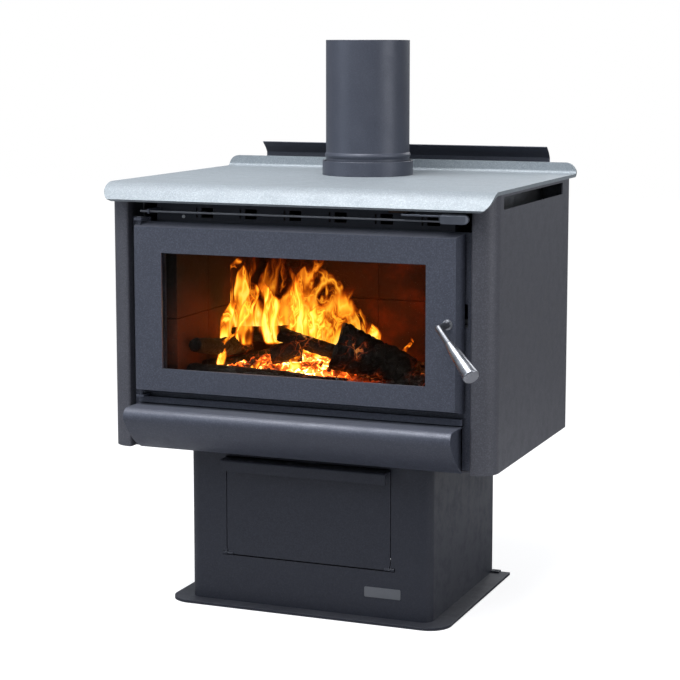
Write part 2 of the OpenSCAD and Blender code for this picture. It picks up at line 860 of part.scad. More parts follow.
module door_frame() {
    s = door_skin;
    y_in = y_door + s;
    r = rope_r + 0.3;
    y_clip = y_glass + glass_t;
    color(charcoal)
    difference() {
        union() {
            difference() {
                door_form(0);
                door_form(s);
            }
            window_ring(r, channel_t, y_in - 1, y_door_back);
            window_ring(-r - channel_t, channel_t, y_in - 1, y_door_back);
            window_ring(-r - 1, 2 * r + 2, y_door_back - 8, y_door_back - 6);
            clip_places() post_y(0, 0, 4, y_in - 1, y_clip);
            post_y(spindle_x, spindle_z, bush_r + 2, y_in - 1, y_in + 6);
            for (z = [door_z0 + door_draft - 1, door_z1 - door_draft - pin_in + 1])
                translate([hinge_x, hinge_y, z]) cylinder(r = boss_r, h = pin_in);
        }
        for (z = [door_z0 - 1, door_z1 - pin_in - 0.5])
            translate([hinge_x, hinge_y, z]) cylinder(r = pin_r + run, h = pin_in + 1.5);
        block(-win_x, win_x, y_door - 1, y_in + 1, win_z0, win_z1);
        clip_places() post_y(0, 0, 2.1, y_in + 0.5, y_clip + 1);
        post_y(spindle_x, spindle_z, bush_r, y_door - 1, y_door_back + 1);
    }
}

module glass_gasket() {
    y = y_door + door_skin;
    color(rope_c)
    difference() {
        block(-win_x - glass_over, win_x + glass_over, y, y + gasket_t,
              win_z0 - glass_over, win_z1 + glass_over);
        block(-win_x - 1, win_x + 1, y - 1, y + gasket_t + 1, win_z0 - 1, win_z1 + 1);
    }
}

module door_glass() {
    color([0.25, 0.2, 0.15, 0.35])
    block(-win_x - glass_over, win_x + glass_over, y_glass, y_glass + glass_t,
          win_z0 - glass_over, win_z1 + glass_over);
}

module glass_clips() {
    y = y_glass + glass_t;
    color(steel)
    clip_places() difference() {
        block(-8, 8, y, y + 1.5, -5, 12);
        post_y(0, 0, 2.1, y - 1, y + 3);
    }
}

module clip_screws() {
    y = y_glass + glass_t + 1.5;
    color(steel)
    clip_places() {
        post_y(0, 0, 4, y, y + 2.5);
        post_y(0, 0, 2, y - 6, y);
    }
}

module rope_seal() {
    y = y_plate - 0.5 - rope_r;
    color(rope_c) {
        for (s = [-1, 1]) translate([s * rope_x, y, rope_z0])
            cylinder(r = rope_r, h = rope_z1 - rope_z0);
        for (z = [rope_z0, rope_z1]) {
            rod_x(y, z, rope_r, -rope_x, rope_x);
            for (s = [-1, 1]) translate([s * rope_x, y, z]) sphere(r = rope_r);
        }
    }
}

module hinge_brackets() {
    color(charcoal)
    for (z = [door_z0 - arm_gap - arm_h, door_z1 + arm_gap]) difference() {
        block(hinge_x - 7, hinge_x + 7, hinge_y - 7, y_plate, z, z + arm_h);
        translate([hinge_x, hinge_y, z - 1]) cylinder(r = pin_r + run, h = arm_h + 2);
    }
}

module hinge_pins() {
    h = arm_h + arm_gap + pin_in;
    color(steel) {
        translate([hinge_x, hinge_y, door_z0 - arm_gap - arm_h]) cylinder(r = pin_r, h = h);
        translate([hinge_x, hinge_y, door_z0 - arm_gap - arm_h - 2]) cylinder(r = pin_r + 1.5, h = 2);
        translate([hinge_x, hinge_y, door_z1 - pin_in]) cylinder(r = pin_r, h = h);
        translate([hinge_x, hinge_y, door_z1 + arm_gap + arm_h]) cylinder(r = pin_r + 1.5, h = 2);
    }
}

// ---- Handle and latch ----

module spindle_bush() {
    color(steel)
    difference() {
        union() {
            post_y(spindle_x, spindle_z, bush_r, y_door, y_door_back);
            post_y(spindle_x, spindle_z, bush_r + 2.3, y_door - 1.5, y_door);
        }
        post_y(spindle_x, spindle_z, spindle_r + run, y_door - 3, y_door_back + 1);
    }
}

module handle_washer() {
    color(chrome_c)
    difference() {
        post_y(spindle_x, spindle_z, bush_r + 1.2, y_door - 3.5, y_door - 1.9);
        post_y(spindle_x, spindle_z, spindle_r, y_door - 5, y_door);
    }
}

module at_elbow() {
    translate([spindle_x, y_elbow, spindle_z])
        rotate([0, 90 + asin(cos(handle_out) * sin(handle_fall)),
                -atan2(sin(handle_out), cos(handle_out) * cos(handle_fall))]) children();
}

module handle_rod() {
    color(chrome_c) {
        post_y(spindle_x, spindle_z, rod_d / 2, y_elbow, y_door - 3.5);
        post_y(spindle_x, spindle_z, spindle_r, y_door - 4, y_cam + cam_t + 5);
        translate([spindle_x, y_elbow, spindle_z]) sphere(r = elbow_r);
        at_elbow() cylinder(r = rod_d / 2, h = rod_l);
        at_elbow() translate([0, 0, rod_l - 1]) cylinder(r = rod_d / 2 - 1.5, h = 14);
    }
}

module handle_grip() {
    r0 = rod_d / 2 + 0.9;
    r1 = grip_d / 2;
    color(chrome_c)
    at_elbow() translate([0, 0, rod_l]) difference() {
        rotate_extrude()
            polygon(concat([[0, 0], [r0 - 1, 0], [r0, 1.2], [r0 + 1.8, 14], [r1 - 0.6, grip_l - 8]],
                           arc([r1 - 3, grip_l - 3], 3, 0, 90, 5), [[0, grip_l]]));
        translate([0, 0, -1]) cylinder(r = rod_d / 2 - 1.5, h = 14);
    }
}

module latch_cam() {
    r = 8;
    color(steel)
    difference() {
        union() {
            post_y(spindle_x, spindle_z, r, y_cam, y_cam + cam_t);
            block(spindle_x, spindle_x + cam_l, y_cam, y_cam + cam_t, spindle_z - 4, spindle_z + 4);
        }
        post_y(spindle_x, spindle_z, spindle_r, y_cam - 1, y_cam + cam_t + 1);
    }
}

module cam_nut() {
    color(steel)
    difference() {
        translate([spindle_x, y_cam + cam_t + 4, spindle_z]) rotate([90, 0, 0])
            cylinder(r = 6.8, h = 4, $fn = 6);
        post_y(spindle_x, spindle_z, spindle_r, y_cam, y_cam + cam_t + 6);
    }
}

base_plate();
pedestal_wrap();
pedestal_back();
pedestal_rails();
pedestal_bolts();
pedestal_foot_tabs();
pedestal_pivots();
hatch_magnet();
badge_plate();
casing_floor();
side_panel_left();
side_panel_right();
rear_panel();
top_rails();
top_plate();
rear_heat_shield();
shield_standoffs();
casing_screws();
inner_shields();
firebox_stand();
firebox_shell();
firebox_front();
floor_bricks();
side_bricks();
rear_bricks();
baffle_board();
baffle_rails();
secondary_air_tubes();
flue_spigot();
flue_collar();
flue_seal();
flue_pipe();
air_box();
air_slide_guides();
air_rail();
rail_brackets();
door_sill();
ash_apron();
apron_ends();
apron_brackets();
hinge_brackets();
hinge_pins();
latch_keeper();
door_frame();
glass_gasket();
door_glass();
glass_clips();
clip_screws();
rope_seal();
spindle_bush();
handle_rod();
handle_grip();
handle_washer();
latch_cam();
cam_nut();
air_rod();
air_knob();
air_slide();
hatch_panel();
hatch_pins();
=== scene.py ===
"""A freestanding wood burning stove on its pedestal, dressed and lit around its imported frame."""

import logging
import math
from dataclasses import dataclass, field
from enum import Enum
from typing import Iterable, Sequence

import bmesh
import bpy
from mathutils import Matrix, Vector, noise


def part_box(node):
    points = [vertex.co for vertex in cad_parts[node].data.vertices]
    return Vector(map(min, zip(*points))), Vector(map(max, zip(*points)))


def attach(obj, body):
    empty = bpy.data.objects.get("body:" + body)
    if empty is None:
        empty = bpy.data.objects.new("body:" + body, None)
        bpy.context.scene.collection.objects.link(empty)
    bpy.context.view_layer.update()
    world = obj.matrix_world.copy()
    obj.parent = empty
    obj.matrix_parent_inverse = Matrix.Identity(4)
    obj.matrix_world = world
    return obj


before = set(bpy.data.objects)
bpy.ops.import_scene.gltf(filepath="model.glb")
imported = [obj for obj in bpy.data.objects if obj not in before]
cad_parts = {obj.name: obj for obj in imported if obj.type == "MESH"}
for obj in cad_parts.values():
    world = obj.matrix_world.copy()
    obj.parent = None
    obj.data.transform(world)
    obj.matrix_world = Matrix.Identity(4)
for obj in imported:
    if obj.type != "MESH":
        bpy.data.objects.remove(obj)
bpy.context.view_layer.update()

log = logging.getLogger("stove")

Colour = tuple[float, float, float]
Point = tuple[float, float, float]
Socket = bpy.types.NodeSocket


class Body(Enum):
    """The body that the added pieces ride on."""

    STOVE = "stove"


class Grain(Enum):
    """Which way the long marks of a finish run."""

    ALONG_X = (1.0, 9.0, 9.0)
    EVEN = (1.0, 1.0, 1.0)


class Graph:
    """A new material's node tree, with short calls that add and join nodes."""

    def __init__(self, name: str) -> None:
        """Starts an empty material.

        Args:
            name: the material's name.
        """
        self.material = bpy.data.materials.new(name)
        self.material.use_nodes = True
        self.tree = self.material.node_tree
        self.tree.nodes.clear()
        self.place = self.add("ShaderNodeTexCoord").outputs["Object"]

    def add(self, kind: str, **settings: object) -> bpy.types.Node:
        """Adds a node.

        Args:
            kind: the node's type name.
            **settings: attributes to set on it.

        Returns:
            The node.
        """
        node = self.tree.nodes.new(kind)
        for key, value in settings.items():
            setattr(node, key, value)
        return node

    def feed(self, socket: Socket, value: object) -> None:
        """Links a socket, or sets its own value.

        Args:
            socket: the input.
            value: another socket, a number or a colour.
        """
        if isinstance(value, bpy.types.NodeSocket):
            self.tree.links.new(value, socket)
        elif isinstance(value, tuple) and len(value) == 3 and socket.type == "RGBA":
            socket.default_value = (*value, 1.0)
        else:
            socket.default_value = value

    def stretched(self, scale: Sequence[float], turn: float = 0.0) -> Socket:
        """The object coordinates, scaled along each axis.

        Args:
            scale: one factor for each axis.
            turn: a turn about Y in degrees.

        Returns:
            A vector socket.
        """
        node = self.add("ShaderNodeMapping")
        self.feed(node.inputs["Vector"], self.place)
        node.inputs["Scale"].default_value = tuple(scale)
        node.inputs["Rotation"].default_value = (0.0, math.radians(turn), 0.0)
        return node.outputs[0]

    def speckle(self, scale: float, detail: float = 2.0, rough: float = 0.5,
                where: Socket | None = None, kind: str = "FBM") -> Socket:
        """A noise value around a half.

        Args:
            scale: how many lumps there are to a metre.
            detail: how many finer layers it has.
            rough: how strong those layers are.
            where: the coordinates, or None for the object's own.
            kind: the noise type.

        Returns:
            A value socket.
        """
        node = self.add("ShaderNodeTexNoise", noise_type=kind)
        self.feed(node.inputs["Vector"], where or self.place)
        node.inputs["Scale"].default_value = scale
        node.inputs["Detail"].default_value = detail
        node.inputs["Roughness"].default_value = rough
        return node.outputs["Fac"]

    def cells(self, scale: float, output: str = "Distance", feature: str = "F1",
              where: Socket | None = None) -> Socket:
        """A Voronoi pattern.

        Args:
            scale: how many cells there are to a metre.
            output: which output to take.
            feature: the Voronoi feature.
            where: the coordinates, or None for the object's own.

        Returns:
            The named output.
        """
        node = self.add("ShaderNodeTexVoronoi", feature=feature)
        self.feed(node.inputs["Vector"], where or self.place)
        node.inputs["Scale"].default_value = scale
        return node.outputs[output]

    def spread(self, value: Socket, low: float, high: float, a: float = 0.0,
               b: float = 1.0) -> Socket:
        """Maps a range of a value onto another, and clamps it.

        Args:
            value: the value.
            low: where the first range starts.
            high: where it ends.
            a: the result at its start.
            b: the result at its end.

        Returns:
            A value socket.
        """
        node = self.add("ShaderNodeMapRange", interpolation_type="SMOOTHSTEP")
        self.feed(node.inputs["Value"], value)
        for name, number in (("From Min", low), ("From Max", high), ("To Min", a), ("To Max", b)):
            node.inputs[name].default_value = number
        return node.outputs[0]

    def sum(self, operation: str, a: object, b: object = 0.0, clamp: bool = False) -> Socket:
        """A Math node.

        Args:
            operation: the Math operation.
            a: the first value.
            b: the second value.
            clamp: whether the result stays between 0 and 1.

        Returns:
            A value socket.
        """
        node = self.add("ShaderNodeMath", operation=operation, use_clamp=clamp)
        self.feed(node.inputs[0], a)
        self.feed(node.inputs[1], b)
        return node.outputs[0]

    def blend(self, share: object, a: object, b: object, mode: str = "MIX") -> Socket:
        """Mixes two colours.

        Args:
            share: how much of the second colour there is.
            a: the first colour.
            b: the second colour.
            mode: the blend mode.

        Returns:
            A colour socket.
        """
        node = self.add("ShaderNodeMix", data_type="RGBA", blend_type=mode)
        self.feed(node.inputs[0], share)
        self.feed(node.inputs[6], a)
        self.feed(node.inputs[7], b)
        return node.outputs[2]

    def ramp(self, value: Socket, stops: Iterable[tuple[float, Colour]]) -> Socket:
        """Turns a value into a colour.

        Args:
            value: the value.
            stops: places from 0 to 1, each with its colour.

        Returns:
            A colour socket.
        """
        node = self.add("ShaderNodeValToRGB")
        self.feed(node.inputs[0], value)
        elements = node.color_ramp.elements
        for index, (place, colour) in enumerate(stops):
            element = elements[index] if index < 2 else elements.new(place)
            element.position = place
            element.color = (*colour, 1.0)
        return node.outputs[0]

    def as_vector(self, value: Socket) -> Socket:
        """The same value on three axes.

        Args:
            value: the value.

        Returns:
            A vector socket.
        """
        node = self.add("ShaderNodeCombineXYZ")
        for socket in node.inputs:
            self.feed(socket, value)
        return node.outputs[0]

    def relief(self, height: Socket, depth: float, strength: float = 1.0,
               under: Socket | None = None) -> Socket:
        """A bump.

        Args:
            height: the height, from 0 to 1.
            depth: what a height of 1 is, in metres.
            strength: the share of it that is used.
            under: another bump that this one lies on.

        Returns:
            A normal socket.
        """
        node = self.add("ShaderNodeBump")
        node.inputs["Strength"].default_value = strength
        node.inputs["Distance"].default_value = depth
        self.feed(node.inputs["Height"], height)
        if under is not None:
            self.feed(node.inputs["Normal"], under)
        return node.outputs[0]

    def up_share(self) -> Socket:
        """How far a surface faces up, from -1 to 1."""
        normal = self.add("ShaderNodeNewGeometry").outputs["Normal"]
        split = self.add("ShaderNodeSeparateXYZ")
        self.feed(split.inputs[0], normal)
        return split.outputs["Z"]

    def surface(self, **inputs: object) -> bpy.types.Material:
        """Finishes the material with one Principled shader.

        Args:
            **inputs: its inputs, with an underscore for each space.

        Returns:
            The material.
        """
        shader = self.add("ShaderNodeBsdfPrincipled")
        for name, value in inputs.items():
            self.feed(shader.inputs[name.replace("_", " ")], value)
        return self.close(shader.outputs[0])

    def close(self, shader: Socket) -> bpy.types.Material:
        """Joins a shader to the output.

        Args:
            shader: the shader socket.

        Returns:
            The material.
        """
        self.feed(self.add("ShaderNodeOutputMaterial").inputs["Surface"], shader)
        return self.material


@dataclass(frozen=True)
class FleckCoat:
    """Stove enamel: a satin heat-resistant coat with a fine metallic fleck."""

    name: str
    colour: Colour
    fleck: float = 0.5
    roughness: float = 0.46
    metallic: float = 0.25
    soot: float = 0.0

    def make(self) -> bpy.types.Material:
        """Builds the coat.

        Returns:
            The material.
        """
        g = Graph(self.name)
        light = tuple(min(1.0, c * (1.0 + 1.5 * self.fleck) + 0.01 * self.fleck) for c in self.colour)
        dark = tuple(c * (1.0 - 0.45 * self.fleck) for c in self.colour)
        fine = g.speckle(620.0, 2.0, 0.65)
        grains = g.spread(g.cells(560.0, "Color"), 0.45, 0.95)
        patch = g.speckle(5.0, 4.0, 0.55)
        base = g.blend(g.spread(fine, 0.36, 0.64), dark, self.colour)
        base = g.blend(g.sum("MULTIPLY", grains, 0.75 * self.fleck), base, light)
        base = g.blend(g.spread(patch, 0.35, 0.75, 0.0, 0.09), base, dark)
        dust = g.sum("MULTIPLY", g.spread(g.up_share(), 0.5, 1.0), g.spread(patch, 0.3, 0.7, 0.04, 0.12))
        base = g.blend(dust, base, (0.32, 0.32, 0.33))
        if self.soot:
            black = g.sum("MULTIPLY", g.spread(g.speckle(14.0, 5.0, 0.6), 0.3, 0.62), self.soot)
            base = g.blend(black, base, (0.012, 0.010, 0.009))
        scuff = g.spread(g.speckle(34.0, 6.0, 0.7), 0.4, 0.75, -0.05, 0.09)
        rough = g.sum("ADD", g.sum("MULTIPLY", fine, 0.12), g.sum("ADD", scuff, self.roughness - 0.06))
        peel = g.relief(fine, 0.00022, 0.5, g.relief(g.speckle(120.0, 1.0), 0.0003, 0.25))
        return g.surface(Base_Color=base, Roughness=rough, Metallic=self.metallic, Normal=peel)


@dataclass(frozen=True)
class WornMetal:
    """Bare, satin or polished metal, with fine marks along its grain."""

    name: str
    colour: Colour
    roughness: float
    grain: Grain = Grain.EVEN
    tarnish: float = 0.3

    def make(self) -> bpy.types.Material:
        """Builds the metal.

        Returns:
            The material.
        """
        g = Graph(self.name)
        marks = g.speckle(60.0, 8.0, 0.75, g.stretched(self.grain.value))
        stain = g.spread(g.speckle(38.0, 4.0, 0.6), 0.4, 0.8)
        dull = tuple(c * 0.55 for c in self.colour)
        base = g.blend(g.sum("MULTIPLY", stain, self.tarnish), self.colour, dull)
        bright = tuple(min(1.0, c * 1.2) for c in self.colour)
        base = g.blend(g.spread(marks, 0.35, 0.65, 0.0, 0.18), base, bright)
        rough = g.sum("ADD", g.spread(marks, 0.3, 0.7, -0.06, 0.08), g.sum("MULTIPLY", stain, 0.12))
        rough = g.sum("ADD", rough, self.roughness)
        return g.surface(Base_Color=base, Roughness=rough, Metallic=1.0,
                         Normal=g.relief(marks, 0.00012, 0.4))


@dataclass(frozen=True)
class FiredClay:
    """Firebrick: gritty clay, browned by heat and blackened by soot, with painted shade that darkens it away
    from the fire.
    """

    name: str
    colour: Colour
    soot: float = 0.7

    def make(self) -> bpy.types.Material:
        """Builds the clay.

        Returns:
            The material.
        """
        g = Graph(self.name)
        grit = g.speckle(240.0, 5.0, 0.7)
        patch = g.speckle(9.0, 6.0, 0.6)
        pits = g.spread(g.cells(170.0), 0.08, 0.3)
        base = g.ramp(grit, ((0.25, tuple(c * 0.6 for c in self.colour)), (0.75, self.colour)))
        base = g.blend(g.spread(patch, 0.42, 0.62, 0.0, self.soot), base, (0.02, 0.014, 0.011))
        # Painted shade: the brick darkens to near black away from the fire, towards the sides and the top
        split = g.add("ShaderNodeSeparateXYZ")
        g.feed(split.inputs[0], g.place)
        wide = g.sum("ABSOLUTE", g.sum("ADD", split.outputs["X"], 0.05))
        corner = g.sum("ADD", g.sum("MULTIPLY", wide, 2.2), g.sum("MULTIPLY", split.outputs["Z"], 3.0))
        corner = g.sum("ADD", corner, g.sum("MULTIPLY", patch, 0.35))
        base = g.blend(g.spread(corner, 1.90, 2.35, 0.0, 0.95), base, (0.010, 0.008, 0.007))
        # Painted shade: the pits, which are hollows in the bump, are darkened
        base = g.blend(g.spread(pits, 0.0, 1.0, 0.5, 0.0), base, (0.015, 0.01, 0.008))
        body = g.relief(grit, 0.0012, 0.7, g.relief(pits, 0.0015, 0.6))
        return g.surface(Base_Color=base, Roughness=g.spread(grit, 0.2, 0.8, 0.82, 0.98), Normal=body)


@dataclass(frozen=True)
class FibreBoard:
    """Pressed insulating board, pale and fibrous."""

    name: str
    colour: Colour = (0.42, 0.36, 0.28)

    def make(self) -> bpy.types.Material:
        """Builds the board.

        Returns:
            The material.
        """
        g = Graph(self.name)
        fibre = g.speckle(120.0, 6.0, 0.7, g.stretched((1.0, 4.0, 8.0)))
        singe = g.spread(g.speckle(9.0, 5.0, 0.6), 0.35, 0.7)
        base = g.ramp(fibre, ((0.3, tuple(c * 0.7 for c in self.colour)), (0.7, self.colour)))
        base = g.blend(singe, base, (0.05, 0.035, 0.025))
        return g.surface(Base_Color=base, Roughness=g.spread(fibre, 0.2, 0.8, 0.85, 1.0),
                         Normal=g.relief(fibre, 0.0008, 0.6))


@dataclass(frozen=True)
class WovenRope:
    """Braided glass rope: two crossing lays of dark yarn."""

    name: str
    colour: Colour = (0.055, 0.052, 0.05)
    yarns: float = 210.0

    def make(self) -> bpy.types.Material:
        """Builds the braid.

        Returns:
            The material.
        """
        g = Graph(self.name)
        lays = []
        for turn in (45.0, -45.0):
            wave = g.add("ShaderNodeTexWave", wave_type="BANDS", bands_direction="X")
            g.feed(wave.inputs["Vector"], g.stretched((1.0, 1.0, 1.0), turn))
            wave.inputs["Scale"].default_value = self.yarns
            wave.inputs["Distortion"].default_value = 0.6
            lays.append(wave.outputs["Fac"])
        braid = g.sum("MULTIPLY", lays[0], lays[1])
        fuzz = g.speckle(900.0, 3.0, 0.6)
        # The braid's colour follows its bump: painted shade in the hollows between the yarns and painted
        # light on their crowns
        hollow_shade = tuple(c * 0.4 for c in self.colour)
        crown_light = tuple(c * 2.0 for c in self.colour)
        base = g.ramp(braid, ((0.1, hollow_shade), (0.9, crown_light)))
        base = g.blend(g.spread(fuzz, 0.4, 0.8, 0.0, 0.3), base, (0.16, 0.15, 0.14))
        return g.surface(Base_Color=base, Roughness=g.spread(fuzz, 0.2, 0.8, 0.85, 1.0),
                         Normal=g.relief(braid, 0.0012, 0.9, g.relief(fuzz, 0.0003, 0.5)))


@dataclass(frozen=True)
class FireGlass:
    """Clear ceramic glass with a faint film of smoke in it."""

    name: str
    tint: Colour = (0.93, 0.90, 0.86)
    film: Colour = (0.50, 0.40, 0.31)

    def make(self) -> bpy.types.Material:
        """Builds the glass.

        Returns:
            The material.
        """
        g = Graph(self.name)
        haze = g.spread(g.speckle(9.0, 5.0, 0.55), 0.48, 0.78)
        tint = g.blend(g.sum("MULTIPLY", haze, 0.35), self.tint, self.film)
        wipe = g.speckle(30.0, 6.0, 0.7, g.stretched((0.35, 1.0, 1.6)))
        return g.surface(Base_Color=tint, Roughness=g.spread(wipe, 0.35, 0.8, 0.0, 0.05), IOR=1.08,
                         Transmission_Weight=1.0, Specular_IOR_Level=0.08)


@dataclass(frozen=True)
class CharredWood:
    """Burning wood: black cracked char over grey ash, with fire in the cracks."""

    name: str
    glow: float = 3.0
    heat: float = 0.5
    crack: float = 46.0

    def make(self) -> bpy.types.Material:
        """Builds the char.

        Returns:
            The material.
        """
        g = Graph(self.name)
        warp = g.speckle(40.0, 4.0, 0.6)
        spot = g.add("ShaderNodeMix", data_type="VECTOR")
        spot.inputs[0].default_value = 0.04
        g.feed(spot.inputs[4], g.place)
        g.feed(spot.inputs[5], g.as_vector(warp))
        edge = g.cells(self.crack, "Distance", "DISTANCE_TO_EDGE", spot.outputs[1])
        plates = g.spread(edge, 0.0, 0.09)
        grain = g.speckle(150.0, 6.0, 0.7)
        patch = g.speckle(10.0, 5.0, 0.6)
        char = g.ramp(grain, ((0.3, (0.003, 0.0025, 0.002)), (0.8, (0.018, 0.014, 0.012))))
        char = g.blend(g.spread(patch, 0.60, 0.76, 0.0, 0.18), char, (0.10, 0.085, 0.08))
        live = g.sum("MULTIPLY", g.sum("SUBTRACT", 1.0, plates),
                     g.spread(patch, 0.50 - 0.3 * self.heat, 0.72))
        fire = g.ramp(live, ((0.0, (0.10, 0.004, 0.0)), (0.35, (0.85, 0.11, 0.012)),
                             (0.8, (1.0, 0.55, 0.12))))
        return g.surface(Base_Color=char, Roughness=g.spread(grain, 0.2, 0.8, 0.6, 0.95),
                         Emission_Color=fire, Emission_Strength=g.sum("MULTIPLY", live, self.glow),
                         Normal=g.relief(plates, 0.004, 0.8, g.relief(grain, 0.001, 0.6)))


@dataclass(frozen=True)
class GlowingEmbers:
    """A bed of embers: bright coals in the middle, crusted with grey ash."""

    name: str
    centre: Point
    reach: float
    glow: float = 8.0

    def make(self) -> bpy.types.Material:
        """Builds the embers.

        Returns:
            The material.
        """
        g = Graph(self.name)
        coal = g.cells(62.0, "Distance", "DISTANCE_TO_EDGE")
        lump = g.spread(coal, 0.0, 0.12)
        grit = g.speckle(220.0, 5.0, 0.7)
        patch = g.speckle(15.0, 5.0, 0.6)
        away = g.add("ShaderNodeVectorMath", operation="DISTANCE")
        g.feed(away.inputs[0], g.stretched((1.0, 1.0, 0.0)))
        away.inputs[1].default_value = (self.centre[0], self.centre[1], 0.0)
        near = g.spread(away.outputs["Value"], self.reach * 0.3, self.reach, 1.0, 0.0)
        hot = g.sum("MULTIPLY", near, g.spread(patch, 0.38, 0.62))
        hot = g.sum("MULTIPLY", hot, g.spread(lump, 0.0, 1.0, 1.0, 0.45))
        ash = g.ramp(grit, ((0.3, (0.012, 0.010, 0.009)), (0.8, (0.10, 0.092, 0.088))))
        fire = g.ramp(hot, ((0.0, (0.2, 0.006, 0.0)), (0.3, (0.9, 0.12, 0.01)), (0.6, (1.0, 0.42, 0.06)),
                            (0.95, (1.0, 0.82, 0.38))))
        return g.surface(Base_Color=ash, Roughness=g.spread(grit, 0.2, 0.8, 0.85, 1.0),
                         Emission_Color=fire, Emission_Strength=g.sum("MULTIPLY", hot, self.glow),
                         Normal=g.relief(lump, 0.004, 0.7, g.relief(grit, 0.001, 0.6)))


@dataclass(frozen=True)
class BurningGas:
    """Flame: thin bright threads in a clear sheet, hot at the foot and dark red at the tips."""

    name: str
    seed: float
    glow: float = 3.0
    body: float = 0.0

    def make(self) -> bpy.types.Material:
        """Builds the flame from the piece's own across and along coordinates.

        Returns:
            The material.
        """
        g = Graph(self.name)
        split = g.add("ShaderNodeSeparateXYZ")
        g.feed(split.inputs[0], g.add("ShaderNodeTexCoord").outputs["UV"])
        across, along = split.outputs["X"], split.outputs["Y"]
        shift = g.add("ShaderNodeMapping")
        g.feed(shift.inputs["Vector"], g.place)
        shift.inputs["Location"].default_value = (self.seed, self.seed * 0.37, -self.seed)
        shift.inputs["Scale"].default_value = (1.0, 1.0, 0.30)
        sway = g.speckle(16.0, 3.0, 0.55, shift.outputs[0])
        swirl = g.add("ShaderNodeVectorMath", operation="MULTIPLY_ADD")
        g.feed(swirl.inputs[0], g.as_vector(sway))
        swirl.inputs[1].default_value = (0.11, 0.08, 0.05)
        g.feed(swirl.inputs[2], shift.outputs[0])
        fine = self.ridge(g, g.speckle(46.0, 3.0, 0.6, swirl.outputs[0]), 7.5)
        broad = self.ridge(g, g.speckle(25.0, 2.0, 0.5, swirl.outputs[0]), 5.5)
        threads = g.sum("MAXIMUM", g.sum("MULTIPLY", fine, 0.85), broad)
        clouds = g.speckle(22.0, 3.0, 0.5, swirl.outputs[0])
        side = g.sum("ABSOLUTE", g.sum("SUBTRACT", g.sum("MULTIPLY", across, 2.0), 1.0))
        ragged = g.sum("SUBTRACT", clouds, 0.5)
        inside = g.spread(g.sum("ADD", side, g.sum("MULTIPLY", ragged, 1.3)), 0.42, 0.98, 1.0, 0.0)
        rise = g.spread(g.sum("ADD", along, g.sum("MULTIPLY", ragged, 1.1)), 0.48, 1.08, 1.0, 0.0)
        foot = g.spread(along, 0.0, 0.07)
        density = g.sum("MULTIPLY", inside, g.sum("MULTIPLY", rise, foot))
        heat = g.sum("MULTIPLY", density, g.sum("ADD", g.sum("MULTIPLY", threads, 0.62), 0.02 + self.body))
        heat = g.sum("ADD", heat, g.sum("MULTIPLY", density, g.spread(along, 0.0, 0.40, 0.12, -0.02)))
        colour = g.ramp(heat, ((0.06, (0.28, 0.012, 0.0)), (0.22, (0.80, 0.07, 0.002)),
                               (0.40, (1.0, 0.21, 0.008)), (0.60, (1.0, 0.42, 0.025)),
                               (0.90, (1.0, 0.72, 0.20))))
        bright = g.spread(heat, 0.05, 0.85, 0.12 * self.glow, 1.05 * self.glow)
        clear = g.spread(heat, 0.10, 0.60, 0.0, 0.85)
        light = g.add("ShaderNodeEmission")
        g.feed(light.inputs["Color"], colour)
        g.feed(light.inputs["Strength"], bright)
        mix = g.add("ShaderNodeMixShader")
        g.feed(mix.inputs[0], clear)
        g.feed(mix.inputs[1], g.add("ShaderNodeBsdfTransparent").outputs[0])
        g.feed(mix.inputs[2], light.outputs[0])
        return g.close(mix.outputs[0])

    def ridge(self, g: Graph, value: Socket, steep: float) -> Socket:
        """Turns the middle of a noise into thin bright lines.

        Args:
            g: the graph to add to.
            value: the noise, from 0 to 1.
            steep: how thin the lines are.

        Returns:
            The lines, from 0 to 1.
        """
        off = g.sum("ABSOLUTE", g.sum("SUBTRACT", value, 0.5))
        return g.sum("SUBTRACT", 1.0, g.sum("MULTIPLY", off, steep), clamp=True)


@dataclass(frozen=True)
class PaleGround:
    """The plain pale floor, which fades into the white behind it."""

    name: str = "pale_ground"
    near: float = 0.75
    far: float = 2.6

    def make(self) -> bpy.types.Material:
        """Builds the floor's finish.

        Returns:
            The material.
        """
        g = Graph(self.name)
        away = g.add("ShaderNodeVectorMath", operation="LENGTH")
        g.feed(away.inputs[0], g.place)
        fade = g.spread(away.outputs["Value"], self.near, self.far)
        cloud = g.speckle(2.0, 2.0)
        paint = g.add("ShaderNodeBsdfDiffuse")
        tone = g.blend(g.spread(cloud, 0.3, 0.7), (0.40, 0.40, 0.41), (0.38, 0.38, 0.39))
        g.feed(paint.inputs["Color"], tone)
        light = g.add("ShaderNodeEmission")
        seen = g.add("ShaderNodeLightPath").outputs["Is Camera Ray"]
        g.feed(light.inputs["Strength"], g.spread(seen, 0.0, 1.0, 0.18, 1.02))
        lift = g.add("ShaderNodeEmission")
        g.feed(lift.inputs["Strength"], g.spread(seen, 0.0, 1.0, 0.0, 0.80))
        ground = g.add("ShaderNodeAddShader")
        g.feed(ground.inputs[0], paint.outputs[0])
        g.feed(ground.inputs[1], lift.outputs[0])
        mix = g.add("ShaderNodeMixShader")
        g.feed(mix.inputs[0], fade)
        g.feed(mix.inputs[1], ground.outputs[0])
        g.feed(mix.inputs[2], light.outputs[0])
        return g.close(mix.outputs[0])


